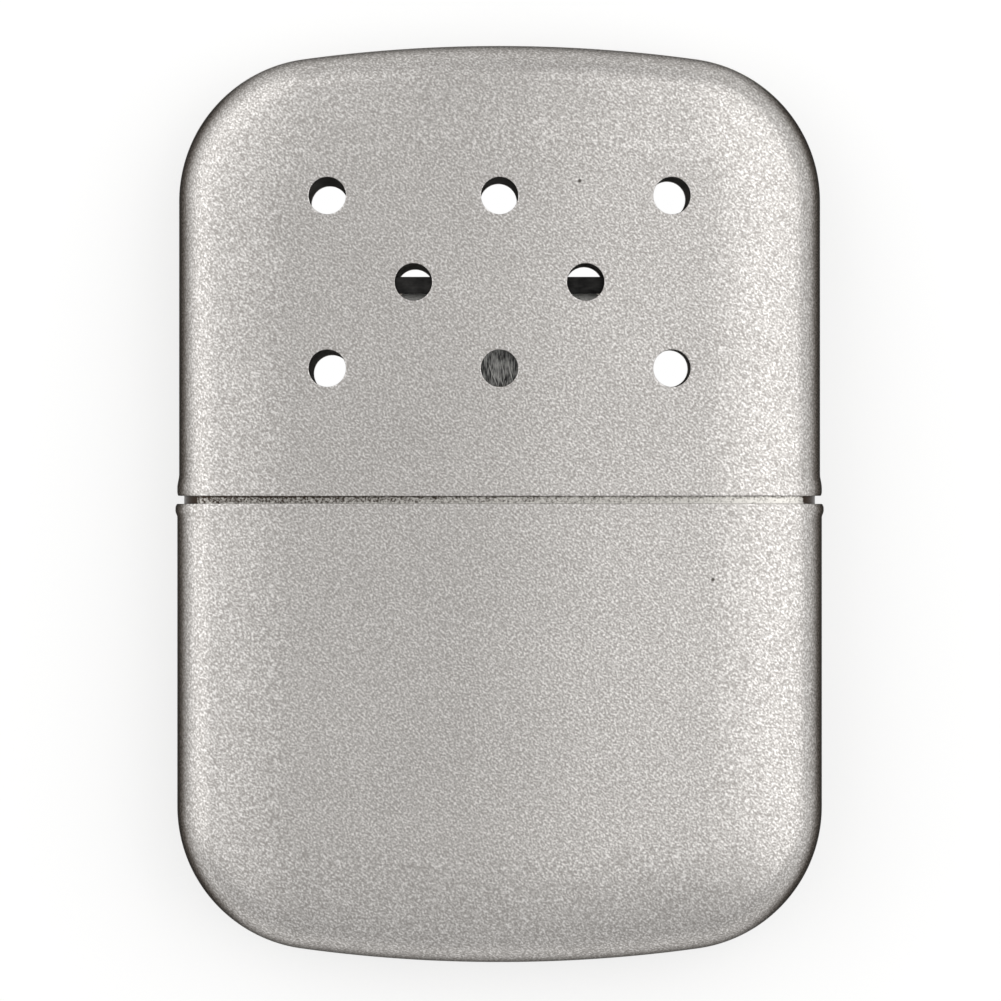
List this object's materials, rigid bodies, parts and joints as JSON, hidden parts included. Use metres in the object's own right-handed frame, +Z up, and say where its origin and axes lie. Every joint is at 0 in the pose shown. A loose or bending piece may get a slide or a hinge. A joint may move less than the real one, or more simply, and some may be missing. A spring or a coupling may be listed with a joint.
{
  "type": "catalytic hand warmer",
  "caption": "Slim rounded pocket warmer: perforated metal lid pulled off a fuel tank, with an oval catalytic burner on its neck.",
  "frame": {"origin": "middle of the footprint, on the table, with the warmer lying on its back", "axes": "+X to the right of the pictured front face, +Y from the tank towards the lid, +Z up out of the front face"},
  "size_m": [0.0704, 0.0994, 0.013],
  "materials": {
    "satin_paint": "satin metallic paint with fine flake",
    "collar_plate": "nickel plate, scuffed by the lid",
    "neck_brass": "bright drawn brass",
    "gasket": "matte fuel-proof rubber",
    "felt": "dense wool felt",
    "cotton": "loose cotton batting",
    "burner_steel": "thin stainless sheet, lightly heat-tinted",
    "cap_steel": "stainless sheet darkened by heat",
    "rivet_steel": "plain steel",
    "gauze_steel": "woven wire gauze",
    "glass_wool": "white glass wool",
    "glass_mat": "needled glass-fibre mat",
    "catalyst": "glass-fibre cloth greyed by its platinum coating"
  },
  "bodies": {
    "tank": {"tank_shell": "satin_paint", "tank_top": "collar_plate", "neck": "neck_brass", "neck_gasket": "gasket", "mouth_felt": "felt", "batting_left": "cotton", "batting_centre": "cotton", "batting_right": "cotton"},
    "lid": {"lid_shell": "satin_paint"},
    "burner": {"burner_socket": "burner_steel", "vapour_plate": "burner_steel", "glass_wool_core": "glass_wool", "support_gauze": "gauze_steel", "glass_mat": "glass_mat", "catalyst_cloth": "catalyst", "cage_front": "burner_steel", "cage_back": "burner_steel", "cage_rivets": "rivet_steel", "burner_cap": "cap_steel"}
  },
  "joints": [
    {"name": "lid_slide", "type": "slide", "parent": "tank", "child": "lid", "axis": [0, 1, 0], "range_m": [0, 0.03]},
    {"name": "burner_slide", "type": "slide", "parent": "tank", "child": "burner", "axis": [0, 1, 0], "range_m": [0, 0.008]}
  ]
}
